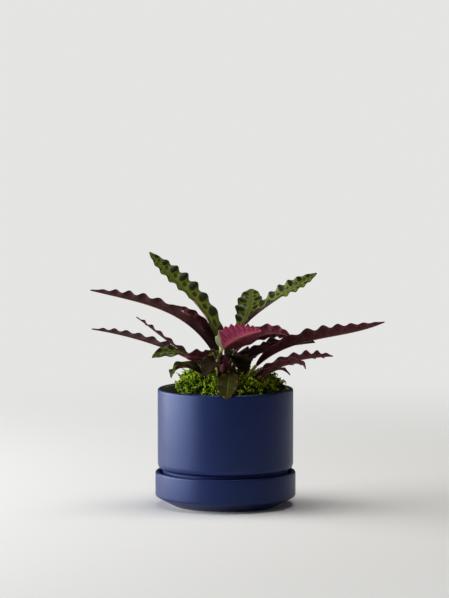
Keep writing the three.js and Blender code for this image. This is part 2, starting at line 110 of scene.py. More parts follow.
# One row per leaf, as the CAD has them: where its stalk leaves the crown, four points along its
# rib, its widest half width, the roll about the rib at base and tip, the fold of its halves, the
# number of ripples and their height. The last three numbers are looks: how brightly light glows
# through its underside, how olive and worn it is, and how dark it is painted as shade.
Leaf = namedtuple("Leaf", "root rib half_width roll fold waves wave_height looks")
LEAVES = {
    "leaf_upper_left": Leaf(
        (-4, 6), ((-9, 15, 178), (-26, 27, 216), (-57, 37, 248), (-86, 46, 281)),
        21, (10, -22), 20, 8, 1.4, (0.2, 0.0, 0.0)),
    "leaf_left": Leaf(
        (-11, 0), ((-13, -6, 173), (-51, -8, 211), (-99, -8, 230), (-151, -4, 242)),
        12.5, (12, 21), 32, 8, 1.4, (0.0, 0.0, 0.25)),
    "leaf_left_edge_on": Leaf(
        (-13, 4), ((-26, 3, 163), (-52, 4, 176), (-76, 8, 193), (-100, 15, 210)),
        8, (10, 23), 10, 6, 1.4, (0.0, 0.2, 0.5)),
    "leaf_low_left": Leaf(
        (-14, -4), ((-24, -11, 157), (-62, -21, 177), (-104, -33, 192), (-148, -42, 202)),
        11, (2, 17), 20, 8, 1.5, (0.0, 0.0, 0.1)),
    "leaf_front_left": Leaf(
        (-8, -8), ((-17, -16, 174), (-35, -37, 171), (-58, -52, 177), (-81, -62, 172)),
        10, (60, -62), 15, 4, 1.8, (0.45, 0.35, 0.1)),
    "leaf_over_moss_left": Leaf(
        (-11, -9), ((-26, -18, 150), (-40, -29, 158), (-53, -39, 158), (-60, -47, 148)),
        9, (-45, 25), 18, 3, 1.4, (0.1, 0.8, 0.05)),
    "leaf_dark_left": Leaf(
        (-8, -12), ((-9, -24, 160), (-13, -36, 164), (-18, -47, 160), (-22, -55, 150)),
        11.5, (-10, 0), 15, 3, 1.2, (0.1, 0.2, 1.0)),
    "leaf_left_inner": Leaf(
        (-9, 4), ((-10, -1, 174), (-25, 3.5, 199), (-40, 9, 213), (-56, 13, 223)),
        7, (90, 46), 30, 4, 1.2, (0.3, 0.0, 0.2)),
    "leaf_top": Leaf(
        (3, 10), ((5, 14, 189), (22, 24, 205), (28, 38, 222), (30, 58, 238)),
        14.5, (0, 0), 20, 5, 1.3, (0.25, 0.0, 0.0)),
    "leaf_upper_right": Leaf(
        (9, 5), ((26, 7, 208), (49, 14, 225), (75, 22, 241), (103, 34, 258)),
        12, (-10, 40), 22, 7, 1.4, (0.55, 0.0, 0.0)),
    "leaf_front_centre": Leaf(
        (-5, -13), ((-3, -24, 178), (9, -33, 188.5), (24, -43, 196), (40, -53, 201)),
        18, (-32, -50), 14, 9, 1.0, (1.0, 0.0, 0.0)),
    "leaf_right_inner": Leaf(
        (8, -2), ((13, 0, 174), (32, -3, 188), (53, -8, 194), (73, -13, 190)),
        10, (-42, -70), 25, 5, 1.6, (0.5, 0.0, 0.1)),
    "leaf_right": Leaf(
        (16, -3), ((35, -6, 158), (80, -12, 183), (129, -18, 194), (177, -22, 208)),
        13, (-17, -26), 38, 8, 1.6, (0.1, 0.0, 0.0)),
    "leaf_back_right": Leaf(
        (17, 3), ((21, 12, 162), (48, 32, 171), (78, 52, 175), (102, 68, 176)),
        13, (-52, -22), 20, 6, 1.8, (0.0, 0.0, 0.5)),
    "leaf_low_right": Leaf(
        (14, -7), ((41, -11, 152), (64, -22, 162), (93, -34, 169), (119, -44, 172)),
        11, (-4, -28), 22, 6, 1.7, (0.1, 0.0, 0.0)),
    "leaf_front_right": Leaf(
        (10, -11), ((34, -21, 148), (56, -43, 159), (77, -59, 166), (88, -66, 160)),
        8, (12, -45), 18, 4, 1.4, (0.1, 0.2, 0.3)),
    "leaf_hook": Leaf(
        (16, -9), ((41, -39, 149), (52, -57, 157), (61, -66, 160), (71, -71, 154)),
        4, (0, 0), 25, 3, 0.6, (0.0, 0.3, 0.7)),
    "leaf_spear": Leaf(
        (1, -11), ((-2, -15, 149), (-2, -16.5, 157), (-2, -18, 165), (-1, -20, 171)),
        6, (0, 0), 38, 1, 0.2, (0.7, 0.0, 0.2)),
    "leaf_over_rim": Leaf(
        (5, -12), ((5, -20, 150), (4, -44, 148.5), (2.5, -66, 138.5), (1, -85, 129)),
        11.5, (0, 0), 14, 4, 1.5, (0.0, 1.0, 0.0)),
    "leaf_dark_inner": Leaf(
        (13, 1), ((15, 1, 165), (27, 2, 172), (42, 5, 179), (57, 8, 184)),
        7, (-30, -14), 12, 4, 1.2, (0.1, 0.0, 0.7)),
    "leaf_dark_centre": Leaf(
        (7, -8), ((8, -13, 166), (13, -21, 168), (18, -29, 162), (21, -36, 150)),
        12, (0, 0), 14, 4, 1.4, (0.05, 0.3, 1.0)),
    "leaf_back_left": Leaf(
        (-5, 11), ((-9, 17, 156), (-18, 44, 162), (-26, 74, 156), (-32, 102, 142)),
        14, (0, 0), 25, 6, 2.0, (0.0, 0.1, 0.1)),
    "leaf_back": Leaf(
        (4, 12), ((5, 18, 158), (12, 48, 165), (20, 82, 158), (27, 112, 144)),
        14, (0, 0), 25, 6, 2.0, (0.0, 0.0, 0.1)),
}

# How far along a blade is widest, where that isn't just before the middle.
WIDEST = {"leaf_front_centre": 0.36, "leaf_over_rim": 0.58, "leaf_top": 0.6}

# How far along a blade the dark of the crown reaches, where that is more than usual.
SHADED = {"leaf_back": 0.5, "leaf_back_left": 0.5, "leaf_left": 0.35, "leaf_left_inner": 0.5}

# Leaves that are dull though neither worn nor dark, and leaves whose stalk keeps its pale colour,
# without painted shade.
DULL_LEAVES = ("leaf_back", "leaf_back_left")
PALE_STALKS = ("leaf_front_centre", "leaf_right")


# Small vector helpers for arrays of points

def unit(v):
    return v / np.maximum(np.linalg.norm(v, axis=-1, keepdims=True), 1e-9)


def smoothstep(low, high, x):
    x = np.clip((x - low) / (high - low), 0, 1)
    return x * x * (3 - 2 * x)


def bezier(points, t):
    """Points and directions at each t on the cubic with these four control points."""
    a, b, c, d = [np.asarray(p, float) for p in points]
    t = np.asarray(t, float)[..., None]
    u = 1 - t
    place = u**3 * a + 3 * u * u * t * b + 3 * u * t * t * c + t**3 * d
    along = u * u * (b - a) + 2 * u * t * (c - b) + t * t * (d - c)
    return place, unit(along)


# Building meshes

def new_piece(name, vertices, faces, material, nodes=(), smooth=True):
    """A mesh object from points in millimetres; quads and triangles may be mixed."""
    mesh = bpy.data.meshes.new(name)
    mesh.from_pydata((np.asarray(vertices) * MM).tolist(), [], faces)
    for item in material if isinstance(material, (list, tuple)) else [material]:
        mesh.materials.append(item)
    mesh.polygons.foreach_set("use_smooth", [smooth] * len(mesh.polygons))
    mesh.update()
    piece = bpy.data.objects.new(name, mesh)
    bpy.context.scene.collection.objects.link(piece)
    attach(piece, "root")
    if nodes:
        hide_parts(*nodes)
    return piece


def grid_faces(rows, columns, closed=False, flip=False, start=0):
    """Quads between rows of points; closed joins the last column to the first."""
    row, column = np.meshgrid(np.arange(rows - 1), np.arange(columns - (not closed)), indexing="ij")
    a = start + row * columns + column
    b = start + row * columns + (column + 1) % columns
    quads = np.stack([a, b, b + columns, a + columns], axis=-1).reshape(-1, 4)
    return (quads[:, ::-1] if flip else quads).tolist()


def closed_rings(rows, around, start=0):
    """A skin over rings of points, with a cap at both ends."""
    first, last = start, start + (rows - 1) * around
    faces = grid_faces(rows, around, closed=True, start=start)
    faces.append(list(range(first, first + around))[::-1])
    faces.append(list(range(last, last + around)))
    return faces


def lathe(name, profile, material, nodes=(), closed=False, sides=160):
    """Turns a profile of (radius, height) about the Z axis; an open one starts and ends on it."""
    profile = np.asarray(profile, float)
    angles = np.arange(sides) / sides * 2 * math.pi
    inner = profile if closed else profile[1:-1]
    x = inner[:, 0, None] * np.cos(angles)
    y = inner[:, 0, None] * np.sin(angles)
    z = np.broadcast_to(inner[:, 1, None], x.shape)
    vertices = np.stack([x, y, z], -1).reshape(-1, 3)
    faces = grid_faces(len(inner), sides, closed=True)
    if closed:
        last = (len(inner) - 1) * sides
        faces += [[last + i, last + (i + 1) % sides, (i + 1) % sides, i] for i in range(sides)]
    else:
        low, high = len(vertices), len(vertices) + 1
        vertices = np.vstack([vertices, [0, 0, profile[0, 1]], [0, 0, profile[-1, 1]]])
        last = (len(inner) - 1) * sides
        faces += [[low, (i + 1) % sides, i] for i in range(sides)]
        faces += [[high, last + i, last + (i + 1) % sides] for i in range(sides)]
    return new_piece(name, vertices, faces, material, nodes)


def rounded(profile, radii, steps=6):
    """Rounds the corners of a profile: radii holds one radius per point, 0 for a sharp one."""
    points = [np.asarray(p, float) for p in profile]
    result = []
    for i, (corner, radius) in enumerate(zip(points, radii)):
        if not radius:
            result.append(corner)
            continue
        before, after = points[i - 1], points[(i + 1) % len(points)]
        into, out = unit(before - corner), unit(after - corner)
        reach = min(radius, *(0.48 * np.linalg.norm(other - corner) for other in (before, after)))
        start, end = corner + into * reach, corner + out * reach
        for t in np.linspace(0, 1, steps + 1):
            result.append((1 - t) ** 2 * start + 2 * t * (1 - t) * corner + t * t * end)
    return result


def tubes(centres, radii, sides):
    """Closed tubes along (tube, point) centres; returns the vertices and faces of them all."""
    count, length = centres.shape[:2]
    along = np.empty_like(centres)
    along[:, 1:-1] = centres[:, 2:] - centres[:, :-2]
    along[:, 0] = centres[:, 1] - centres[:, 0]
    along[:, -1] = centres[:, -1] - centres[:, -2]
    along = unit(along)
    level = unit(np.cross(along, np.array([0.31, 0.95, 0.02])))
    third = np.cross(along, level)
    angles = (np.arange(sides) / sides * 2 * math.pi)[:, None]
    spokes = np.cos(angles) * level[:, :, None] + np.sin(angles) * third[:, :, None]
    vertices = (centres[:, :, None] + spokes * radii[:, :, None, None]).reshape(-1, 3)
    quads = np.array(grid_faces(length, sides, closed=True))
    shifts = np.arange(count) * length * sides
    faces = (quads[None] + shifts[:, None, None]).reshape(-1, 4).tolist()
    for cap in (np.arange(sides)[::-1], (length - 1) * sides + np.arange(sides)):
        faces += (cap[None] + shifts[:, None]).tolist()
    return vertices, faces


def solid_tree(pieces):
    """The pieces' faces in one search tree, in millimetres."""
    points, faces = [], []
    for piece in pieces:
        start = len(points)
        points += [tuple(c / MM for c in v.co) for v in piece.data.vertices]
        faces += [[start + i for i in polygon.vertices] for polygon in piece.data.polygons]
    return BVHTree.FromPolygons(points, faces)


def set_tone(piece, values):
    """Stores up to three numbers per vertex for the materials to read."""
    layer = piece.data.attributes.new("tone", "FLOAT_COLOR", "POINT")
    rgba = np.ones((len(piece.data.vertices), 4), np.float32)
    rgba[:, : values.shape[1]] = values
    layer.data.foreach_set("color", rgba.ravel())


# Colours, as linear red, green and blue. A mottled ground has two, and moss has three: its root,
# which is darkened as painted shade, its tip and its dry tip.

GLAZE, GLAZE_TINT = ((0.004, 0.009, 0.062), (0.007, 0.014, 0.08)), (0.45, 0.6, 1.0)
GLAZE_SPECK = (0.07, 0.08, 0.16)
BARE_CLAY = ((0.32, 0.2, 0.13), (0.42, 0.29, 0.2))
# the pot's pale inside: salts bloomed on the clay, and painted light bounced from the moss
BLOOM_AND_BOUNCE_LIGHT = ((0.19, 0.21, 0.2), (0.34, 0.37, 0.33))
SOIL, SOIL_PATCH = ((0.012, 0.008, 0.005), (0.075, 0.045, 0.028)), (0.03, 0.024, 0.02)
# moss deep in the heap: a darker copy of the bright moss, as painted shade
MOSS_IN_SHADE = ((0.004, 0.01, 0.001), (0.04, 0.085, 0.003), (0.09, 0.13, 0.006))
BRIGHT_MOSS = ((0.012, 0.03, 0.001), (0.27, 0.5, 0.008), (0.66, 0.74, 0.03))
MOSS_SHADE_FLECK = (0.02, 0.05, 0.004)
PALE_STALK = ((0.34, 0.31, 0.05), (0.58, 0.56, 0.13))
RED_AND_SHADED_STALK = ((0.018, 0.006, 0.006), (0.045, 0.013, 0.012))
STALK_CROWN_SHADE = (0.09, 0.05, 0.03)
GREEN = ((0.1, 0.13, 0.003), (0.23, 0.26, 0.007))
GREEN_VEIN, GREEN_EDGE_SHADE, GREEN_GLOW = (0.05, 0.085, 0.01), (0.035, 0.075, 0.012), (0.2, 0.26, 0.06)
OLIVE, RUST = ((0.02, 0.019, 0.002), (0.058, 0.053, 0.006)), (0.19, 0.085, 0.012)
OVAL, MARGIN = ((0.014, 0.018, 0.005), (0.03, 0.036, 0.01)), (0.012, 0.022, 0.006)
BESIDE_RIB, GREEN_RIB, GREEN_SHADE = (0.02, 0.035, 0.006), (0.17, 0.2, 0.04), (0.016, 0.008, 0.005)
WINE = ((0.045, 0.012, 0.013), (0.09, 0.03, 0.029))
MAGENTA, MAGENTA_BAND = ((0.3, 0.028, 0.075), (0.55, 0.085, 0.17)), (0.11, 0.012, 0.03)
WINE_VEIN, WINE_OVAL, WINE_SHADE = (0.03, 0.006, 0.012), (0.03, 0.004, 0.01), (0.014, 0.004, 0.006)
WINE_RIB, PALE_BASE = (0.26, 0.17, 0.08), ((0.3, 0.34, 0.17), (0.4, 0.42, 0.25))

# A leaf's specular share and the range of its roughness, above and below: satin, and dull where
# it is worn or in the dark.
SATIN = ((0.14, 0.36, 0.46), (0.12, 0.4, 0.5))
DULL = ((0.04, 0.6, 0.75), (0.04, 0.6, 0.75))


# Building materials

class Shader:
    """A material's node tree, with short calls for the nodes used here."""

    def __init__(self, name, roughness, specular):
        self.material = bpy.data.materials.new(name)
        self.material.use_nodes = True
        self.tree = self.material.node_tree
        self.surface = self.tree.nodes["Principled BSDF"]
        self.surface.inputs["Roughness"].default_value = roughness
        self.surface.inputs["Specular IOR Level"].default_value = specular

    def node(self, kind, **inputs):
        made = self.tree.nodes.new(kind)
        for key, value in inputs.items():
            self.feed(made.inputs[key], value)
        return made

    def feed(self, socket, value):
        if isinstance(value, bpy.types.NodeSocket):
            self.tree.links.new(value, socket)
        else:
            socket.default_value = value

    def math(self, operation, a, b=0.0):
        made = self.tree.nodes.new("ShaderNodeMath")
        made.operation = operation
        self.feed(made.inputs[0], a)
        self.feed(made.inputs[1], b)
        return made.outputs[0]

    def ramp(self, value, low, high, out_low=0.0, out_high=1.0):
        """Fades smoothly from out_low to out_high as value goes from low to high."""
        made = self.tree.nodes.new("ShaderNodeMapRange")
        made.interpolation_type = "SMOOTHSTEP"
        for socket, item in zip(made.inputs, (value, low, high, out_low, out_high)):
            self.feed(socket, item)
        return made.outputs[0]

    def mix(self, factor, a, b):
        """Goes from colour a to colour b as factor goes from 0 to 1."""
        made = self.tree.nodes.new("ShaderNodeMix")
        made.data_type = "RGBA"
        self.feed(made.inputs[0], factor)
        for socket, value in ((made.inputs[6], a), (made.inputs[7], b)):
            self.feed(socket, value if isinstance(value, bpy.types.NodeSocket) else (*value, 1.0))
        return made.outputs[2]

    def noise(self, scale, detail):
        made = self.node("ShaderNodeTexNoise", Scale=scale, Detail=detail, Roughness=0.55,
                         Vector=self.position())
        return made.outputs[0]

    def position(self):
        return self.tree.nodes.new("ShaderNodeTexCoord").outputs["Object"]

    def parts(self, vector):
        return self.node("ShaderNodeSeparateXYZ", Vector=vector).outputs

    def from_axis(self):
        """Distance from the Z axis."""
        squares = [self.math("MULTIPLY", item, item) for item in self.parts(self.position())[:2]]
        return self.math("SQRT", self.math("ADD", *squares))

    def coordinate(self, layer):
        """The two numbers that a blade's faces carry under this name."""
        made = self.tree.nodes.new("ShaderNodeUVMap")
        made.uv_map = layer
        return self.parts(made.outputs[0])[:2]

    def tone(self):
        """The numbers that set_tone stored."""
        made = self.tree.nodes.new("ShaderNodeAttribute")
        made.attribute_name = "tone"
        return self.node("ShaderNodeSeparateColor", Color=made.outputs["Color"]).outputs

    def finish(self, color, roughness, height, bump, distance):
        """Connects the surface; a roughness of None keeps the even one."""
        self.feed(self.surface.inputs["Base Color"], color)
        if roughness is not None:
            self.feed(self.surface.inputs["Roughness"], roughness)
        made = self.node("ShaderNodeBump", Strength=bump, Distance=distance, Height=height)
        self.feed(self.surface.inputs["Normal"], made.outputs[0])
        return self.material


def stoneware(name, bare_below, paler_inside_above=None):
    """Matte navy glaze, bare clay at the foot, and a pale grey-green inside the pot at the top:
    partly salts bloomed on the clay, partly painted light bounced from the moss.
    """
    s = Shader(name, 0.42, 0.5)
    s.surface.inputs["Specular Tint"].default_value = (*GLAZE_TINT, 1.0)
    cloud = s.noise(28, 4)
    speck = s.ramp(s.noise(900, 1), 0.66, 0.74)
    color = s.mix(cloud, *GLAZE)
    color = s.mix(s.math("MULTIPLY", speck, 0.35), color, GLAZE_SPECK)
    height = s.parts(s.position())[2]
    bare = s.ramp(height, bare_below * MM, (bare_below + 0.4) * MM, 1.0, 0.0)
    color = s.mix(bare, color, s.mix(s.noise(300, 3), *BARE_CLAY))
    if paler_inside_above is not None:
        bore = POT_RADIUS - POT_WALL
        inside = s.ramp(s.from_axis(), bore * MM, (bore + 1.2) * MM, 1.0, 0.0)
        above = s.ramp(height, paler_inside_above * MM, (paler_inside_above + 6) * MM)
        inside = s.math("MULTIPLY", inside, above)
        # painted light: the inside near the top is paler, partly salts on the clay and partly
        # painted bounce light from the moss
        bloom_and_bounce = s.mix(s.noise(70, 4), *BLOOM_AND_BOUNCE_LIGHT)
        color = s.mix(s.math("MULTIPLY", inside, 0.85), color, bloom_and_bounce)
    rough = s.ramp(cloud, 0.3, 0.7, 0.38, 0.46)
    grain = s.math("ADD", s.noise(1500, 2), s.math("MULTIPLY", s.noise(160, 2), 1.5))
    return s.finish(color, rough, grain, 0.12, 0.0002)


def soil_material():
    """Dark brown potting mix with greyer patches."""
    s = Shader("soil", 0.95, 0.2)
    color = s.mix(s.noise(260, 4), *SOIL)
    color = s.mix(s.ramp(s.noise(90, 2), 0.55, 0.7), color, SOIL_PATCH)
    return s.finish(color, None, s.noise(700, 3), 0.7, 0.001)


def moss_material(name, shaded_root, bright, lime):
    """Strands run from a root darkened with painted shade to a bright tip, and each has its own
    tint.
    """
    s = Shader(name, 0.85, 0.1)
    tip, tint = s.tone()[:2]
    color = s.mix(s.ramp(tip, 0.1, 0.9), shaded_root, s.mix(tint, bright, lime))
    # painted shade: fine dark flecks among the strands
    color = s.mix(s.math("MULTIPLY", s.noise(900, 2), 0.35), color, MOSS_SHADE_FLECK)
    return s.finish(color, None, s.noise(2600, 2), 0.4, 0.0003)


def stalk_material():
    """Pale green-yellow stalks, or red ones darkened as painted shade, that turn brownish with
    painted shade towards the crown, with fine fibres.
    """
    s = Shader("stalk", 0.5, 0.15)
    up, tint = s.tone()[:2]
    stripe = s.noise(1400, 2)
    pale = s.mix(stripe, *PALE_STALK)
    red = s.mix(stripe, *RED_AND_SHADED_STALK)
    color = s.mix(tint, pale, red)
    # painted shade: the stalks turn brownish and darker towards the crown
    color = s.mix(s.ramp(up, 0.0, 0.35, 0.6, 0.0), color, STALK_CROWN_SHADE)
    return s.finish(color, None, stripe, 0.2, 0.0002)


def leaf_shader(name, roughness, specular):
    """A blade's shader, with distance from the rib, ripple count and place along the blade."""
    s = Shader(name, roughness, specular)
    across, ripples = s.coordinate("blade")
    reach = s.math("ABSOLUTE", s.math("SUBTRACT", s.math("MULTIPLY", across, 2.0), 1.0))
    return s, reach, ripples, s.coordinate("length")[1]


def blotches(s, reach, ripples):
    """Masks of the big ovals that sit on the ripples' crests and the small ones between them."""
    wobble = s.math("MULTIPLY", s.math("SUBTRACT", s.noise(260, 2), 0.5), 0.35)
    slant = s.math("MULTIPLY", reach, 0.22)
    place = s.math("ADD", s.math("SUBTRACT", ripples, slant), s.math("MULTIPLY", wobble, 0.4))

    def oval(offset, middle, length, width):
        cycle = s.math("SUBTRACT", s.math("FRACT", s.math("ADD", place, 0.5 - offset)), 0.5)
        x = s.math("DIVIDE", cycle, width)
        y = s.math("DIVIDE", s.math("SUBTRACT", reach, middle), length)
        distance = s.math("ADD", s.math("MULTIPLY", x, x), s.math("MULTIPLY", y, y))
        return s.ramp(s.math("ADD", distance, wobble), 0.55, 1.25, 1.0, 0.0)

    big = oval(0.12, 0.66, 0.4, 0.27)
    small = oval(0.62, 0.4, 0.2, 0.2)
    return big, small


def veins(s, reach, ripples):
    """Fine side veins that run slanting from the rib to the margin."""
    slanted = s.math("SUBTRACT", s.math("MULTIPLY", ripples, VEINS_PER_RIPPLE),
                     s.math("MULTIPLY", reach, VEIN_SLANT))
    return s.math("PINGPONG", slanted, 0.5)


def leaf_top_material(name, specular, rough_low, rough_high):
    """Yellow-green with dark green ovals, a dark margin and a thin rib."""
    s, reach, ripples, along = leaf_shader(name, rough_low, specular)
    glow, worn, dark = s.tone()[:3]
    big, small = blotches(s, reach, ripples)
    vein = veins(s, reach, ripples)
    ground = s.mix(s.noise(45, 3), *GREEN)
    ground = s.mix(s.ramp(vein, 0.3, 0.5, 0.0, 0.35), ground, GREEN_VEIN)
    # painted shade: the green darkens towards the margins
    ground = s.mix(s.ramp(reach, 0.5, 0.95, 0.0, 0.6), ground, GREEN_EDGE_SHADE)
    ground = s.mix(s.math("MULTIPLY", glow, 0.9), ground, GREEN_GLOW)
    olive = s.mix(s.noise(60, 3), *OLIVE)
    rusty = s.math("MULTIPLY", s.ramp(s.noise(45, 2), 0.5, 0.62), s.ramp(reach, 0.35, 0.6))
    olive = s.mix(rusty, olive, RUST)
    ground = s.mix(worn, ground, olive)
    spot = s.mix(s.noise(120, 2), *OVAL)
    mask = s.math("MAXIMUM", big, s.math("MULTIPLY", small, 0.9))
    color = s.mix(mask, ground, spot)
    margin = s.ramp(reach, 0.93, 0.99)
    color = s.mix(s.math("MULTIPLY", margin, 0.85), color, MARGIN)
    beside_rib = s.math("MULTIPLY", s.ramp(reach, 0.05, 0.12, 1.0, 0.0), 0.8)
    color = s.mix(beside_rib, color, BESIDE_RIB)
    rib = s.ramp(reach, 0.018, 0.04, 1.0, 0.0)
    color = s.mix(s.math("MULTIPLY", rib, 0.9), color, GREEN_RIB)
    shade = s.math("MULTIPLY", s.ramp(along, 0.0, 0.3, 1.0, 0.0), 0.85)
    shade = s.math("MAXIMUM", s.math("MULTIPLY", dark, 0.95), shade)
    color = s.mix(shade, color, GREEN_SHADE)
    rough = s.ramp(vein, 0.0, 0.5, rough_low, rough_high)
    height = s.math("ADD", s.math("MULTIPLY", vein, 0.9), s.noise(1100, 2))
    return s.finish(color, rough, height, 0.35, 0.0004)


def leaf_under_material(name, specular, rough_low, rough_high):
    """Dark burgundy that glows magenta where light comes through, with a pale rib."""
    s, reach, ripples, along = leaf_shader(name, rough_low, specular)
    glow, _, dark = s.tone()[:3]
    big, small = blotches(s, reach, ripples)
    vein = veins(s, reach, ripples)
    wine = s.mix(s.noise(70, 3), *WINE)
    magenta = s.mix(s.noise(60, 3), *MAGENTA)
    band = s.ramp(s.math("PINGPONG", s.math("MULTIPLY", ripples, 2.0), 0.5), 0.1, 0.4, 0.0, 0.45)
    band = s.math("MULTIPLY", band, s.ramp(s.noise(90, 2), 0.35, 0.65))
    magenta = s.mix(band, magenta, MAGENTA_BAND)
    color = s.mix(glow, wine, magenta)
    color = s.mix(s.ramp(vein, 0.25, 0.5, 0.0, 0.3), color, WINE_VEIN)
    through = s.math("MULTIPLY", s.math("MAXIMUM", big, small), 0.38)
    color = s.mix(through, color, WINE_OVAL)
    rib = s.ramp(reach, 0.03, 0.07, 1.0, 0.0)
    color = s.mix(s.math("MULTIPLY", rib, 0.7), color, WINE_RIB)
    # the brightest leaf is pale at its base, most at the margins
    from_base = s.math("SUBTRACT", along, s.math("MULTIPLY", reach, 0.26))
    pale = s.math("MULTIPLY", s.ramp(from_base, -0.03, 0.02, 1.0, 0.0), s.ramp(glow, 0.8, 0.95))
    color = s.mix(pale, color, s.mix(vein, *PALE_BASE))
    color = s.mix(s.math("MULTIPLY", dark, 0.85), color, WINE_SHADE)
    rough = s.ramp(vein, 0.0, 0.5, rough_low, rough_high)
    height = s.math("ADD", vein, s.noise(900, 2))
    return s.finish(color, rough, height, 0.45, 0.0005)


# Leaves

def rib_controls(rib):
    """The control points of the cubic that passes the rib's four points at equal steps."""
    points = np.asarray(rib, float)
    second = (-5 * points[0] + 18 * points[1] - 9 * points[2] + 2 * points[3]) / 6
    third = (2 * points[0] - 9 * points[1] + 18 * points[2] - 5 * points[3]) / 6
    return points[0], second, third, points[3]


def width_share(x, widest):
    """How wide a blade is at x, from its base to its tip, as a share of its widest place."""
    def bulge(place):
        return place ** (TIP_TAPER * widest / (1 - widest)) * (1 - place) ** TIP_TAPER
    return bulge(x) / bulge(widest)


def leaf_frame(leaf, t):
    """Points along the rib, and the directions to the blade's right and up out of it there."""
    place, along = bezier(rib_controls(leaf.rib), t)
    level = unit(np.cross(along, [0, 0, 1.0]))
    roll = leaf.roll[0] + (leaf.roll[1] - leaf.roll[0]) * smoothstep(0, 1, t)
    angle = np.radians(roll)[:, None]
    right = np.cos(angle) * level + np.sin(angle) * np.cross(along, level)
    return place[:, None], right[:, None], np.cross(right, along)[:, None]


def leaf_surfaces(name, leaf, rows, columns):
    """The upper and lower surface as (row, column) points, with s across and t along the blade."""
    t = np.linspace(0, 1, rows + 1) ** (1 / ROW_SPREAD)
    s = np.linspace(-1, 1, columns + 1)
    place, right, up = leaf_frame(leaf, t)
    reach = np.abs(s)[None]
    side = np.sign(s)[None, :, None]
    # the halves leave the rib level and bend up into the fold, as a leaf's do
    fold = np.radians(leaf.fold)
    bend = (fold * (1 - np.exp(-reach / BEND_WIDTH)))[..., None]
    outward = right * side * np.cos(fold) + up * np.sin(fold)
    upper = unit(up * np.cos(bend) - right * side * np.sin(bend))
    # the margins ripple out of step, no two ripples are alike, and both ends lie flat
    fade = np.minimum(1, np.minimum(5 * t, 6 * (1 - t)))
    lead = np.where(s < 0, LEFT_LEAD, 0)[None]
    cycle = 2 * math.pi * (leaf.waves * t[:, None] ** WAVE_SPREAD + lead)
    swell = 1 + 0.3 * np.sin(9 * t + leaf.root[0])
    wave = (fade * swell)[:, None] * np.sin(cycle)
    plain = leaf.half_width * width_share(t, WIDEST.get(name, USUAL_WIDEST))
    width = (BASE_WIDTH * (1 - t) + TIP_WIDTH + plain)[:, None] * (1 + SCALLOP * wave)
    middle = place + outward * reach[..., None] * width[..., None]
    middle = middle + upper * (leaf.wave_height * wave * reach**1.5)[..., None]
    # between the side veins the blade is faintly quilted
    veins_passed = VEINS_PER_RIPPLE * leaf.waves * t[:, None] ** WAVE_SPREAD - VEIN_SLANT * reach
    quilt = QUILT_HEIGHT * np.cos(2 * math.pi * veins_passed)
    quilt = quilt * fade[:, None] * np.clip(3 * reach * (1.1 - reach), 0, 1)
    middle = middle + upper * quilt[..., None]
    half = (BLADE_HALF - MARGIN_LOSS * reach**4)[..., None]
    channel = CHANNEL_DEPTH * np.exp(-((s / CHANNEL_WIDTH) ** 2))[None] * (1 - t)[:, None]
    rib = np.exp(-((s / (RIB_HALF_WIDTH / leaf.half_width)) ** 2))[None]
    keel = (RIB_DEPTH * (1 - t) + RIB_DEPTH_AT_TIP)[:, None] * rib
    top = middle + upper * (half - channel[..., None])
    bottom = middle - upper * (half + keel[..., None])
    return top, bottom, s, t


def leaf_looks(name, leaf, s, t):
    """Glow, wear and painted shade at each (row, column) point of the blade."""
    glow, worn, dark = leaf.looks
    # the half that leans away from the light glows less
    lowered = s * np.sign(sum(leaf.roll))
    glow = glow * (1 - 0.7 * smoothstep(-0.1, 0.4, lowered))[None] * np.ones((len(t), 1))
    # the crown keeps the base of some blades dark
    reach = SHADED.get(name, 0.0)
    shade = np.full(len(t), dark)
    if reach:
        shade = np.maximum(dark, 1 - smoothstep(0.6 * reach, reach, t))
    shade = np.broadcast_to(shade[:, None], glow.shape)
    return np.stack([glow, np.full(glow.shape, worn), shade], -1).reshape(-1, 3)


def rim_faces(rows, columns):
    """Quads that close a blade's two surfaces all round; the lower one's points come last."""
    across = columns + 1
    below = (rows + 1) * across
    rim = []
    for row in range(rows):
        left, right = row * across, row * across + columns
        rim.append([left, left + across, left + across + below, left + below])
        rim.append([right + across, right, right + below, right + across + below])
    for column in range(columns):
        last = rows * across + column
        rim.append([column + 1, column, column + below, column + 1 + below])
        rim.append([last, last + 1, last + 1 + below, last + below])
    return rim


def set_blade_coordinates(mesh, s, t, waves):
    """Gives the faces their place across the blade, their ripple count and their place along it."""
    corner = np.empty(len(mesh.loops), np.int32)
    mesh.loops.foreach_get("vertex_index", corner)
    corner = corner % (len(s) * len(t))
    s_all, t_all = np.tile(s, len(t))[corner], np.repeat(t, len(s))[corner]
    starts = np.empty(len(mesh.polygons), np.int32)
    mesh.polygons.foreach_get("loop_start", starts)
    corners_of = np.diff(np.append(starts, len(corner)))
    on_left = np.repeat(np.add.reduceat(s_all, starts) < 0, corners_of)
    ripples = waves * t_all**WAVE_SPREAD + LEFT_LEAD * on_left
    for layer, v in (("blade", ripples), ("length", t_all)):
        uv = np.stack([s_all * 0.5 + 0.5, v], -1).astype(np.float32)
        mesh.uv_layers.new(name=layer).data.foreach_set("uv", uv.ravel())


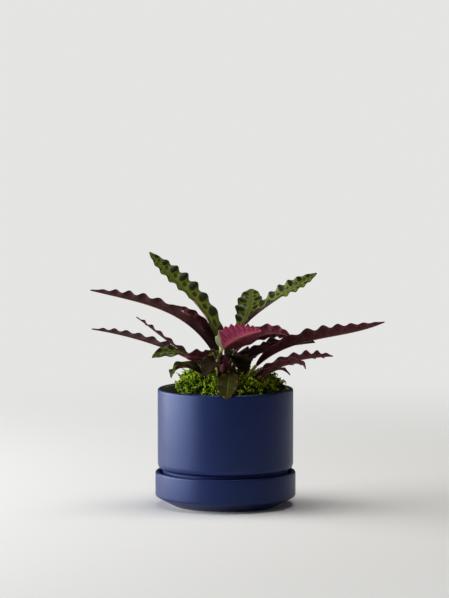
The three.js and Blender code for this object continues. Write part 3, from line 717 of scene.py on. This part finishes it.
def build_leaf(name, leaf, materials):
    """One blade; materials holds the look of its upper face and that of its underside and rim."""
    rows = max(LEAST_ROWS, leaf.waves * ROWS_PER_RIPPLE)
    columns = WIDE_COLUMNS if leaf.half_width > WIDE_BLADE else NARROW_COLUMNS
    top, bottom, s, t = leaf_surfaces(name, leaf, rows, columns)
    vertices = np.vstack([top.reshape(-1, 3), bottom.reshape(-1, 3)])
    upper = grid_faces(rows + 1, columns + 1)
    lower = grid_faces(rows + 1, columns + 1, flip=True, start=len(vertices) // 2)
    lower += rim_faces(rows, columns)
    piece = new_piece(name + "_fine", vertices, upper + lower, materials, [name])
    piece.data.polygons.foreach_set("material_index", [0] * len(upper) + [1] * len(lower))
    set_blade_coordinates(piece.data, s, t, leaf.waves)
    set_tone(piece, np.tile(leaf_looks(name, leaf, s, t), (2, 1)))
    return piece


# Stalks

def stalk_path(leaf):
    """Points from the crown, where it stands upright, to the blade, in line with the rib."""
    knee = np.asarray(leaf.rib[0], float)
    _, along = bezier(rib_controls(leaf.rib), [0.0])
    root = np.array([*leaf.root, CROWN_CENTRE[2]], float)
    length = np.linalg.norm(knee - root)
    end = knee - along[0] * GAP
    lean = np.array([(knee[0] - root[0]) * 0.1, (knee[1] - root[1]) * 0.1, length * 0.45])
    controls = (root, root + lean, end - along[0] * length * 0.28, end)
    place, _ = bezier(controls, np.linspace(0, 1, STALK_POINTS))
    return place, length


def stalk_radii(length):
    """A sheath at the root, a slender stalk, and a thicker knee before the blade."""
    t = np.linspace(0, 1, STALK_POINTS)
    from_knee = (1 - t) * length
    plain = STALK_ROOT + (STALK_TIP - STALK_ROOT) * t
    sheath = SHEATH_SWELL * np.exp(-((t * length) / SHEATH_LENGTH) ** 2)
    swell = 1 / (1 + np.exp((from_knee - KNEE_LENGTH) / 0.9))
    radius = plain * (1 - swell) + KNEE_RADIUS * swell + sheath
    radius[-1] *= 0.8
    return radius


def crown_rings(rows, around):
    """A crown of this many rings of points, open at both ends by a small cap."""
    polar = np.linspace(0.12, math.pi - 0.12, rows)[:, None]
    turn = (np.arange(around) / around * 2 * math.pi)[None]
    crown = np.stack([np.sin(polar) * np.cos(turn), np.sin(polar) * np.sin(turn),
                      np.broadcast_to(-np.cos(polar), (rows, around))], -1)
    return crown.reshape(-1, 3) * CROWN_RADII + CROWN_CENTRE


def build_stalks(material):
    """All the stalks and the crown that they grow from, as one piece."""
    paths, radii, tones = [], [], []
    for name, leaf in LEAVES.items():
        place, length = stalk_path(leaf)
        paths.append(place)
        radii.append(stalk_radii(length))
        # most stalks are a dark red, partly their own colour and partly painted shade of the crown
        red = 0.05 if name in PALE_STALKS else 0.85
        tones.append([(up, red) for up in np.linspace(0, 1, STALK_POINTS)])
    vertices, faces = tubes(np.array(paths), np.array(radii), STALK_SIDES)
    tone = np.repeat(np.array(tones).reshape(-1, 2), STALK_SIDES, axis=0)
    rows, around = 14, 28
    crown = crown_rings(rows, around)
    start = len(vertices)
    faces += closed_rings(rows, around, start)
    vertices = np.vstack([vertices, crown])
    tone = np.vstack([tone, np.tile([0.0, 0.9], (len(crown), 1))])
    piece = new_piece("stalks_fine", vertices, faces, material, ["stalks"])
    set_tone(piece, tone)
    return piece


# Soil and moss

def moss_height(share, angle):
    """How high the heap stands over the soil at this share of its radius."""
    hump = 0.1 * np.sin(angle) - 0.08 * np.cos(angle) + 0.07 * np.sin(5 * angle + 1)
    return MOSS_HEIGHT * (1 - 0.3 * share**6) * (1 + hump * share)


def moss_point(share, angle, lift):
    """A point on the soil, lifted by so much; the heap's outline is drawn in on the left."""
    notch = MOSS_NOTCH * (0.5 - 0.5 * np.cos(angle)) ** 6
    wobble = 1 + 0.02 * np.sin(7 * angle) + 0.015 * np.sin(11 * angle + 1)
    r = MOSS_RADIUS * share * (1 - notch) * np.where(share > 0.8, wobble, 1)
    return np.stack([MOSS_CENTRE[0] + r * np.cos(angle), MOSS_CENTRE[1] + r * np.sin(angle),
                     SOIL_TOP + GAP + lift], -1)


def build_soil(material):
    """The filling, clear of the pot's inside, with a loose uneven top."""
    bottom = SAUCER_FLOOR + GAP + FOOT_RING + POT_FLOOR + GAP
    lower, upper = FOOT_RADIUS - POT_WALL - GAP, POT_RADIUS - POT_WALL - GAP
    flare = SHOULDER_HEIGHT + POT_RADIUS - FOOT_RADIUS + POT_WALL
    surface = [(r, SOIL_TOP) for r in np.linspace(upper - 1, 4, 26)]
    profile = [(0, bottom), (lower, bottom), (lower, SHOULDER_HEIGHT), (upper, flare + GAP),
               (upper, SOIL_TOP - 1), *surface, (0, SOIL_TOP)]
    soil = lathe("soil_fine", profile, material, ["soil"], sides=144)
    points = np.empty(len(soil.data.vertices) * 3)
    soil.data.vertices.foreach_get("co", points)
    points = points.reshape(-1, 3)
    loose = points[:, 2] > (SOIL_TOP - 0.5) * MM
    points[loose, 2] -= rng.random(loose.sum()) * 1.6 * MM
    soil.data.vertices.foreach_set("co", points.ravel())
    return soil


def icosahedron():
    """Corners and triangles of one with a radius of 1."""
    phi = (1 + 5**0.5) / 2
    corners = [(-1, phi, 0), (1, phi, 0), (-1, -phi, 0), (1, -phi, 0), (0, -1, phi), (0, 1, phi),
               (0, -1, -phi), (0, 1, -phi), (phi, 0, -1), (phi, 0, 1), (-phi, 0, -1), (-phi, 0, 1)]
    sides = [(0, 11, 5), (0, 5, 1), (0, 1, 7), (0, 7, 10), (0, 10, 11), (1, 5, 9), (5, 11, 4),
             (11, 10, 2), (10, 7, 6), (7, 1, 8), (3, 9, 4), (3, 4, 2), (3, 2, 6), (3, 6, 8),
             (3, 8, 9), (4, 9, 5), (2, 4, 11), (6, 2, 10), (8, 6, 7), (9, 8, 1)]
    return unit(np.array(corners)), np.array(sides)


def build_crumbs(material, count=1500):
    """Loose grains on the soil, thickest at the rim where the moss leaves it bare."""
    corners, sides = icosahedron()
    radius = 50 + 18.5 * np.sqrt(rng.random(count))
    angle = rng.random(count) * 2 * math.pi
    size = 0.5 + 0.9 * rng.random(count) ** 2
    height = SOIL_TOP - 0.5 + 0.4 * size
    centre = np.stack([radius * np.cos(angle), radius * np.sin(angle), height], -1)
    shape = corners[None] * (0.7 + 0.5 * rng.random((count, 12, 1))) * size[:, None, None]
    vertices = (centre[:, None] + shape).reshape(-1, 3)
    faces = (sides[None] + 12 * np.arange(count)[:, None, None]).reshape(-1, 3).tolist()
    return new_piece("soil_crumbs", vertices, faces, material, smooth=False)


def build_moss_core(material):
    """The heap's inside, painted dark as shade, a little smaller than the CAD heap and hollowed
    round the stalks.
    """
    angle = np.arange(CORE_SIDES) / CORE_SIDES * 2 * math.pi
    rings = []
    for share, rise in CORE_LEVELS:
        lump = 2.5 * (rng.random(CORE_SIDES) - 0.5) if rise > 0.1 else 0
        lift = moss_height(share, angle) * rise + lump
        rings.append(moss_point(np.full(CORE_SIDES, share), angle, lift))
    vertices = np.vstack(rings)
    faces = closed_rings(len(CORE_LEVELS), CORE_SIDES)
    piece = new_piece("moss_core", vertices, faces, material, ["moss"])
    set_tone(piece, np.tile([0.15, 0.3], (len(vertices), 1)))
    return piece


def strand_centres(root, direction, length, curl):
    """Curling paths that set out from root along direction."""
    count = len(root)
    axis = unit(rng.normal(size=(count, 3)))
    step = length[:, None] / (STRAND_POINTS - 1)
    path = [root]
    heading = direction
    for _ in range(STRAND_POINTS - 1):
        turned = heading + np.cross(axis, heading) * curl[:, None]
        heading = unit(turned + 0.22 * rng.normal(size=(count, 3)))
        path.append(path[-1] + heading * step)
    return np.stack(path, 1)


def keep_in_pot(centres):
    """Pulls points that would cross the pot's wall back inside it."""
    r = np.linalg.norm(centres[..., :2], axis=-1)
    inside = POT_RADIUS - POT_WALL - WALL_CLEARANCE
    room = np.where(centres[..., 2] < POT_HEIGHT + 1.5, inside, 1e3)
    scale = np.minimum(1, room / np.maximum(r, 1e-6))
    centres[..., :2] *= scale[..., None]
    return centres


def clear_of(paths, obstacles):
    """Which paths keep clear of the plant."""
    def touches(point):
        return obstacles.find_nearest(point, PLANT_CLEARANCE)[0] is not None
    return np.array([not any(touches(point) for point in path[1::2]) for path in paths])


def step_noise(main):
    """Random directions as long as one step of each path."""
    step = np.linalg.norm(main[:, 1] - main[:, 0], axis=-1, keepdims=True)
    return rng.normal(size=(len(main), 3)) * step


def moss_paths(count, length, lift):
    """Strands that stand up on the heap and out at its side, with two branches each."""
    share = np.sqrt(rng.random(count))
    angle = rng.random(count) * 2 * math.pi
    at_side = share > 0.9
    depth = np.where(at_side, 0.15 + 0.75 * rng.random(count), 0.88)
    depth = depth * (0.45 + 0.55 * smoothstep(0.15, 0.5, share))
    root = moss_point(share * 0.95, angle, moss_height(share, angle) * depth + lift)
    outward = np.stack([np.cos(angle), np.sin(angle), np.zeros(count)], -1)
    upright = np.array([0, 0, 1.0]) * np.where(at_side, 0.5, 1.0)[:, None]
    outward = outward * np.where(at_side, 1.0, 0.15)[:, None]
    direction = unit(upright + outward + 0.75 * rng.normal(size=(count, 3)))
    size = length * (0.6 + 0.8 * rng.random(count))
    main = strand_centres(root, direction, size, 0.4 + 0.4 * rng.random(count))
    branches = [main]
    for start, part in ((2, 0.6), (4, 0.5)):
        heading = unit(main[:, start + 1] - main[:, start] + 0.9 * step_noise(main))
        curl = 0.6 + 0.6 * rng.random(count)
        branches.append(strand_centres(main[:, start], heading, size * part, curl))
    return np.concatenate(branches)


def build_moss(name, material, count, length, thickness, obstacles, lift, shade):
    """Tapering strands of one length, clear of the plant; shade is how light the painted shade
    leaves their root.
    """
    centres = keep_in_pot(moss_paths(count, length, lift))
    centres = centres[clear_of(centres, obstacles)]
    taper = np.linspace(1, 0.45, STRAND_POINTS)[None]
    radii = thickness * taper * (0.7 + 0.6 * rng.random((len(centres), 1)))
    vertices, faces = tubes(centres, radii, STRAND_SIDES)
    piece = new_piece(name, vertices, faces, material)
    along = np.tile(np.linspace(shade, 1, STRAND_POINTS), len(centres))
    bright = np.repeat(rng.random(len(centres)), STRAND_POINTS)
    along = np.clip(along * (0.55 + 0.6 * bright), 0, 1)
    # the moss on the right is painted a yellower, brighter green: partly drier moss, partly painted
    # light where the leaves shade it
    dry_and_lit = smoothstep(-10, 50, centres[:, :, 0]).ravel()
    tint = np.repeat(rng.random(len(centres)) ** 1.5, STRAND_POINTS)
    tint = np.clip(tint + 0.5 * dry_and_lit, 0, 1)
    set_tone(piece, np.repeat(np.stack([along, tint], -1), STRAND_SIDES, axis=0))
    return piece


# Pot and saucer

def build_saucer(material):
    """A dish with a flat foot, a sloping underside and an upright wall."""
    r, wall, floor = SAUCER_RADIUS, SAUCER_WALL, SAUCER_FLOOR
    profile = [(0, 0), (SAUCER_BASE - 1.5, 0), (SAUCER_BASE, 0.8), (r - 0.6, SAUCER_CREASE - 0.4),
               (r, SAUCER_CREASE + 1.2), (r, SAUCER_HEIGHT), (r - wall, SAUCER_HEIGHT),
               (r - wall, floor + 2.5), (r - wall - 2, floor), (0, floor)]
    shape = rounded(profile, [0, 0.8, 0.8, 2.2, 1.5, 2.6, 2.4, 1.5, 1.5, 0])
    return lathe("saucer_fine", shape, material, ["saucer"])


def build_pot(material):
    """A hollow cylinder on a narrower foot ring, with a drain hole."""
    bottom = SAUCER_FLOOR + GAP
    underside = bottom + FOOT_RING
    shoulder = POT_RADIUS - FOOT_RADIUS
    inner_foot = FOOT_RADIUS - POT_WALL
    inner_ring, bore = FOOT_RADIUS - FOOT_RING_WIDTH, POT_RADIUS - POT_WALL
    profile = [(DRAIN_RADIUS, underside), (inner_ring, underside), (inner_ring, bottom),
               (FOOT_RADIUS, bottom), (FOOT_RADIUS, SHOULDER_HEIGHT),
               (POT_RADIUS - 1.6, SHOULDER_HEIGHT + 1.2),
               (POT_RADIUS, SHOULDER_HEIGHT + shoulder), (POT_RADIUS, POT_HEIGHT),
               (bore, POT_HEIGHT), (bore, SHOULDER_HEIGHT + shoulder + POT_WALL),
               (inner_foot, SHOULDER_HEIGHT), (inner_foot, underside + POT_FLOOR),
               (DRAIN_RADIUS, underside + POT_FLOOR)]
    radii = [0.8, 1.5, 1.2, 1.2, 0.8, 2.0, 3.0, 2.7, 2.4, 4, 4, 3, 0.8]
    shape = rounded(profile, radii)
    return lathe("pot_fine", shape, material, ["pot"], closed=True)


# Camera, floor and light

def build_camera():
    camera = bpy.data.objects.new("camera", bpy.data.cameras.new("camera"))
    bpy.context.scene.collection.objects.link(camera)
    camera.data.lens = CAMERA_LENS
    camera.data.sensor_width = SENSOR_WIDTH
    camera.data.clip_end = 20
    pitch = math.radians(CAMERA_PITCH)
    x, y, z = LOOK_AT
    camera.location = (x * MM, (y - CAMERA_DISTANCE * math.cos(pitch)) * MM,
                       (z + CAMERA_DISTANCE * math.sin(pitch)) * MM)
    camera.rotation_euler = (math.pi / 2 - pitch, 0, 0)
    bpy.context.scene.camera = camera


def build_stage(name, profile, fade, sides=96):
    """A pale turned surface, in metres, whose own even paleness takes over from the light on it."""
    angle = np.arange(sides) / sides * 2 * math.pi
    rings = [np.stack([r * np.cos(angle), r * np.sin(angle), np.full(sides, z)], -1)
             for r, z in profile]
    mesh = bpy.data.meshes.new(name)
    mesh.from_pydata(np.vstack(rings).tolist(), [], grid_faces(len(profile), sides, closed=True))
    mesh.polygons.foreach_set("use_smooth", [True] * len(mesh.polygons))
    stage = bpy.data.objects.new(name, mesh)
    bpy.context.scene.collection.objects.link(stage)
    s = Shader(name, 0.8, 0.2)
    s.surface.inputs["Base Color"].default_value = (*FLOOR_COLOR, 1)
    even = s.node("ShaderNodeEmission", Color=(*BACKDROP, 1.0))
    both = s.node("ShaderNodeMixShader", Fac=s.ramp(s.from_axis(), *fade))
    s.tree.links.new(s.surface.outputs[0], both.inputs[1])
    s.tree.links.new(even.outputs[0], both.inputs[2])
    s.tree.links.new(both.outputs[0], s.tree.nodes["Material Output"].inputs[0])
    mesh.materials.append(s.material)
    return stage


def build_backdrop():
    """A bowl round the floor that is only seen: it neither lights the plant nor mirrors in it."""
    curve = BACKDROP_CURVE
    sweep = [(FLOOR_RADIUS, 0.0), (3.0, 0.0), (BACKDROP_REACH, 0.0)]
    sweep += [(BACKDROP_REACH + curve * math.sin(a), curve - curve * math.cos(a))
              for a in np.linspace(0.1, math.pi / 2, 10)]
    backdrop = build_stage("backdrop", sweep + BACKDROP_DOME, BACKDROP_FADE)
    backdrop.visible_diffuse = False
    backdrop.visible_glossy = False
    backdrop.visible_transmission = False
    backdrop.visible_shadow = False


def area_light(name, place, target, size, watts, color):
    data = bpy.data.lights.new(name, "AREA")
    data.shape = "RECTANGLE"
    data.size, data.size_y = size
    data.energy = watts
    data.color = color
    light = bpy.data.objects.new(name, data)
    bpy.context.scene.collection.objects.link(light)
    light.location = place
    light.visible_camera = False
    aim = np.array(target) - np.array(place)
    light.rotation_euler = (math.atan2(math.hypot(aim[0], aim[1]), -aim[2]), 0,
                            math.atan2(aim[1], aim[0]) - math.pi / 2)


def build_world():
    world = bpy.data.worlds.new("world")
    world.use_nodes = True
    background = world.node_tree.nodes["Background"]
    background.inputs[0].default_value = (*WORLD_COLOR, 1)
    background.inputs[1].default_value = WORLD_STRENGTH
    bpy.context.scene.world = world
    bpy.context.scene.view_settings.view_transform = "Standard"


# The whole scene, in the order that the random draws need: soil, crumbs, core, strands

build_saucer(stoneware("stoneware_saucer", bare_below=0.5))
build_pot(stoneware("stoneware_pot", bare_below=SAUCER_FLOOR + 1.0, paler_inside_above=90))

satin_leaf = [leaf_top_material("leaf_top", *SATIN[0]),
              leaf_under_material("leaf_under", *SATIN[1])]
dull_leaf = [leaf_top_material("leaf_top_dull", *DULL[0]),
             leaf_under_material("leaf_under_dull", *DULL[1])]
plant = []
for name, leaf in LEAVES.items():
    dull = max(leaf.looks[1:]) >= 0.5 or name in DULL_LEAVES
    plant.append(build_leaf(name, leaf, dull_leaf if dull else satin_leaf))
plant.append(build_stalks(stalk_material()))
obstacles = solid_tree(plant)

soil_look = soil_material()
build_soil(soil_look)
build_crumbs(soil_look)
moss_in_shade = moss_material("moss_painted_shade", *MOSS_IN_SHADE)
bright_moss = moss_material("moss_bright", *BRIGHT_MOSS)
build_moss_core(moss_in_shade)
scale = 1.0
build_moss("moss_under", moss_in_shade, int(1300 * scale), 11, 1.0, obstacles, -2, 0.2)
build_moss("moss_curls", bright_moss, int(1200 * scale), 13, 1.0, obstacles, 0, 0.3)

build_camera()
build_stage("floor", [(r, 0.0) for r in (0.001, 0.3, 0.6, 0.9, 1.2, FLOOR_RADIUS)], FLOOR_FADE)
build_backdrop()
for name, row in LIGHTS.items():
    area_light(name, *row)
build_world()
